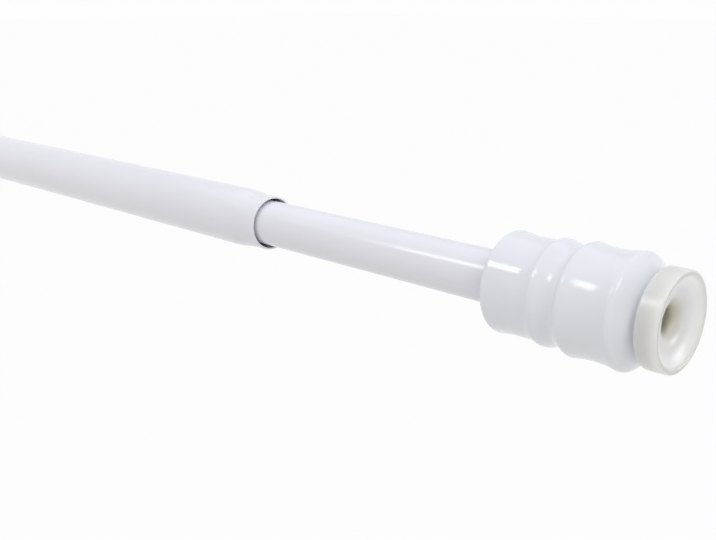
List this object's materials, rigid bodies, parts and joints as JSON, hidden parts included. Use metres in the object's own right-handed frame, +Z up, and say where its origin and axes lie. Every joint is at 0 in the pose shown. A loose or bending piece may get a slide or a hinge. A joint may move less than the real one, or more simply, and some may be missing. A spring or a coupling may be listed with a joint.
{
  "type": "spring tension rod",
  "caption": "Telescopic spring tension rod: two sliding tubes with a ribbed barrel and a dished soft foot on each end, pressed apart by a hidden spring.",
  "frame": {"origin": "centre of the front rim of the foot on the outer tube's end", "axes": "+X along the rod towards the inner tube's end, +Z up, +Y across"},
  "size_m": [0.5343, 0.0242, 0.0242],
  "materials": {
    "tube_enamel": "gloss white enamel",
    "barrel_plastic": "gloss white",
    "foot_vinyl": "translucent soft vinyl",
    "core_plastic": "natural moulded",
    "core_steel": "zinc plated",
    "ring_rubber": "black rubber"
  },
  "bodies": {
    "outer": {"outer_tube": "tube_enamel", "outer_end_barrel": "barrel_plastic", "outer_end_foot": "foot_vinyl"},
    "expander": {"expander_sleeve": "core_plastic", "drag_ring": "ring_rubber"},
    "cone": {"cone_nut": "core_plastic"},
    "spindle": {"spindle": "core_steel", "spindle_stop": "core_steel", "spring_washer": "core_steel", "spindle_tip_retainer": "core_steel", "compression_spring": "core_steel"},
    "inner": {"inner_tube": "tube_enamel", "guide_plug": "core_plastic", "inner_end_barrel": "barrel_plastic", "inner_end_foot": "foot_vinyl"}
  },
  "joints": [
    {"name": "length_slide", "type": "slide", "parent": "outer", "child": "expander", "axis": [1, 0, 0], "range_m": [-0.045, 0.18]},
    {"name": "twist", "type": "hinge", "parent": "expander", "child": "spindle", "pos_m": [0.16, 0, 0], "axis": [1, 0, 0], "range_deg": [-720, 0]},
    {"name": "cone_travel", "type": "slide", "parent": "expander", "child": "cone", "axis": [1, 0, 0], "range_m": [-0.004, 0]},
    {"name": "spring_slide", "type": "slide", "parent": "spindle", "child": "inner", "axis": [1, 0, 0], "range_m": [-0.03, 0], "stiffness_N_per_m": 1200, "springref_m": 0.006, "deforming": ["compression_spring"]}
  ],
  "couplings": [
    {"joint": "cone_travel", "follows": "twist", "m_per_rad": 0.0003183}
  ]
}
